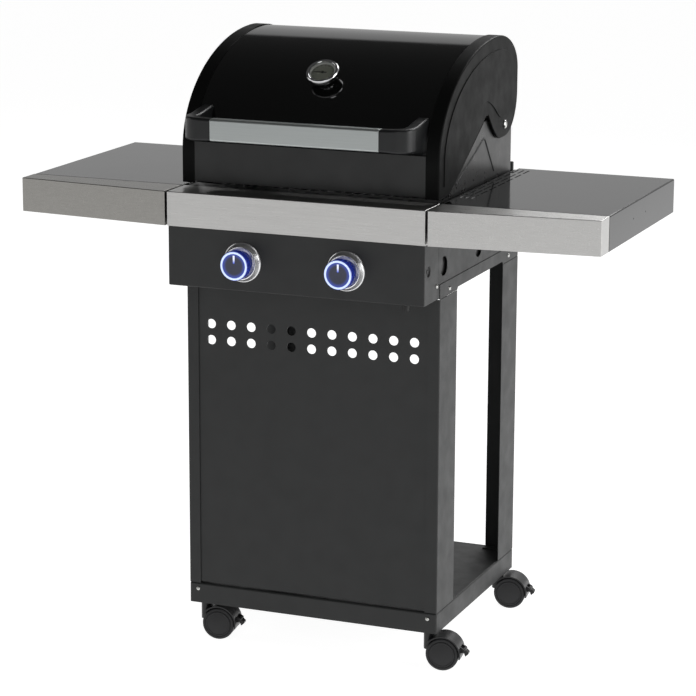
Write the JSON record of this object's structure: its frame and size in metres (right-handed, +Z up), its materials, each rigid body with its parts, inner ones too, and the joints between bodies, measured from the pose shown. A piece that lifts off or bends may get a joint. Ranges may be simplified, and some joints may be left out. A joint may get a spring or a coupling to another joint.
{
  "type": "gas barbecue grill",
  "caption": "Gas barbecue on a caster cart: rear-hinged curved lid with bar handle and thermometer, lit control knobs, steel-trimmed side shelves, grease tray and open bottle bay.",
  "frame": {"origin": "on the floor, under the middle of the whole object as it stands with its lid closed", "axes": "+Z up; +X to the right of a cook who stands in front of the control panel; +Y away from that cook, towards the lid's hinge"},
  "size_m": [1.14, 0.5718, 1.1585],
  "materials": {
    "powder_black": "satin black powder coat",
    "enamel_black": "high-gloss black enamel",
    "stainless": "brushed stainless steel, grain along X",
    "zinc_steel": "bright zinc-plated steel",
    "chrome": "polished chrome",
    "caster_black": "black moulded plastic",
    "valve_brass": "plain brass",
    "porcelain": "glazed white porcelain",
    "grate_iron": "matt enamelled cast iron",
    "handle_aluminium": "satin silver-grey anodised aluminium",
    "needle_black": "black needle",
    "dial_glass": "clear glass",
    "knob_blue": "translucent blue plastic lit from inside"
  },
  "bodies": {
    "root": {"base_pan": "powder_black", "post_front_left": "powder_black", "post_front_right": "powder_black", "post_rear_left": "powder_black", "post_rear_right": "powder_black", "front_panel": "powder_black", "side_rails": "powder_black", "rear_rails": "powder_black", "cart_screws": "zinc_steel", "caster_sockets": "zinc_steel", "control_panel": "powder_black", "knob_bezels": "chrome", "gas_valves": "valve_brass", "gas_manifold": "zinc_steel", "battery_box": "caster_black", "firebox": "enamel_black", "cheek_left": "enamel_black", "cheek_right": "enamel_black", "side_plate_left": "powder_black", "side_plate_right": "powder_black", "front_ledge": "enamel_black", "burner_left": "stainless", "burner_right": "stainless", "igniters": "porcelain", "flame_tamers": "stainless", "cooking_grates": "grate_iron", "warming_rack": "chrome", "hinge_bolts": "zinc_steel", "shelf_left": "enamel_black", "shelf_right": "enamel_black", "shelf_trim_left": "stainless", "shelf_trim_right": "stainless", "centre_trim": "stainless"},
    "lid": {"lid_shell": "enamel_black", "lid_strip": "powder_black", "lid_cap_left": "powder_black", "lid_cap_right": "powder_black", "handle_bar": "handle_aluminium", "handle_ends": "caster_black", "thermometer_case": "chrome", "thermometer_glass": "dial_glass"},
    "needle": {"thermometer_needle": "needle_black"},
    "valve_left": {"valve_stem_left": "zinc_steel"},
    "knob_left": {"knob_left": "knob_blue"},
    "valve_right": {"valve_stem_right": "zinc_steel"},
    "knob_right": {"knob_right": "knob_blue"},
    "caster_fl": {"caster_fork_fl": "caster_black"},
    "wheel_fl": {"caster_wheel_fl": "caster_black"},
    "brake_fl": {"brake_lever_fl": "caster_black"},
    "caster_fr": {"caster_fork_fr": "caster_black"},
    "wheel_fr": {"caster_wheel_fr": "caster_black"},
    "brake_fr": {"brake_lever_fr": "caster_black"},
    "caster_rl": {"caster_fork_rl": "caster_black"},
    "wheel_rl": {"caster_wheel_rl": "caster_black"},
    "brake_rl": {"brake_lever_rl": "caster_black"},
    "caster_rr": {"caster_fork_rr": "caster_black"},
    "wheel_rr": {"caster_wheel_rr": "caster_black"},
    "brake_rr": {"brake_lever_rr": "caster_black"},
    "grease_drawer": {"grease_tray": "zinc_steel", "grease_cup": "zinc_steel"}
  },
  "joints": [
    {"name": "lid_hinge", "type": "hinge", "parent": "root", "child": "lid", "pos_m": [0, 0.18262, 0.9855], "axis": [-1, 0, 0], "range_deg": [0, 82]},
    {"name": "needle_turn", "type": "hinge", "parent": "lid", "child": "needle", "pos_m": [0, -0.09916, 1.09008], "axis": [0, 0.5834, -0.8122], "range_deg": [0, 250]},
    {"name": "knob_turn_left", "type": "hinge", "parent": "root", "child": "valve_left", "pos_m": [-0.102, -0.24488, 0.7685], "axis": [0, -1, 0], "range_deg": [0, 180]},
    {"name": "knob_push_left", "type": "slide", "parent": "valve_left", "child": "knob_left", "axis": [0, 1, 0], "range_m": [0, 0.004], "stiffness_N_per_m": 1500},
    {"name": "knob_turn_right", "type": "hinge", "parent": "root", "child": "valve_right", "pos_m": [0.102, -0.24488, 0.7685], "axis": [0, -1, 0], "range_deg": [0, 180]},
    {"name": "knob_push_right", "type": "slide", "parent": "valve_right", "child": "knob_right", "axis": [0, 1, 0], "range_m": [0, 0.004], "stiffness_N_per_m": 1500},
    {"name": "caster_swivel_fl", "type": "hinge", "parent": "root", "child": "caster_fl", "pos_m": [-0.23, -0.13888, 0.0735], "axis": [0, 0, 1], "continuous": true},
    {"name": "wheel_roll_fl", "type": "hinge", "parent": "caster_fl", "child": "wheel_fl", "pos_m": [-0.20128, -0.13484, 0.0315], "axis": [0.1392, -0.9903, 0], "continuous": true},
    {"name": "brake_press_fl", "type": "hinge", "parent": "caster_fl", "child": "brake_fl", "pos_m": [-0.16266, -0.12941, 0.0385], "axis": [-0.1392, 0.9903, 0], "range_deg": [0, 18]},
    {"name": "caster_swivel_fr", "type": "hinge", "parent": "root", "child": "caster_fr", "pos_m": [0.23, -0.13888, 0.0735], "axis": [0, 0, 1], "continuous": true},
    {"name": "wheel_roll_fr", "type": "hinge", "parent": "caster_fr", "child": "wheel_fr", "pos_m": [0.25872, -0.13484, 0.0315], "axis": [0.1392, -0.9903, 0], "continuous": true},
    {"name": "brake_press_fr", "type": "hinge", "parent": "caster_fr", "child": "brake_fr", "pos_m": [0.29734, -0.12941, 0.0385], "axis": [-0.1392, 0.9903, 0], "range_deg": [0, 18]},
    {"name": "caster_swivel_rl", "type": "hinge", "parent": "root", "child": "caster_rl", "pos_m": [-0.23, 0.25412, 0.0735], "axis": [0, 0, 1], "continuous": true},
    {"name": "wheel_roll_rl", "type": "hinge", "parent": "caster_rl", "child": "wheel_rl", "pos_m": [-0.20128, 0.25816, 0.0315], "axis": [0.1392, -0.9903, 0], "continuous": true},
    {"name": "brake_press_rl", "type": "hinge", "parent": "caster_rl", "child": "brake_rl", "pos_m": [-0.16266, 0.26359, 0.0385], "axis": [-0.1392, 0.9903, 0], "range_deg": [0, 18]},
    {"name": "caster_swivel_rr", "type": "hinge", "parent": "root", "child": "caster_rr", "pos_m": [0.23, 0.25412, 0.0735], "axis": [0, 0, 1], "continuous": true},
    {"name": "wheel_roll_rr", "type": "hinge", "parent": "caster_rr", "child": "wheel_rr", "pos_m": [0.25872, 0.25816, 0.0315], "axis": [0.1392, -0.9903, 0], "continuous": true},
    {"name": "brake_press_rr", "type": "hinge", "parent": "caster_rr", "child": "brake_rr", "pos_m": [0.29734, 0.26359, 0.0385], "axis": [-0.1392, 0.9903, 0], "range_deg": [0, 18]},
    {"name": "grease_tray_slide", "type": "slide", "parent": "root", "child": "grease_drawer", "axis": [0, 1, 0], "range_m": [0, 0.3]}
  ]
}
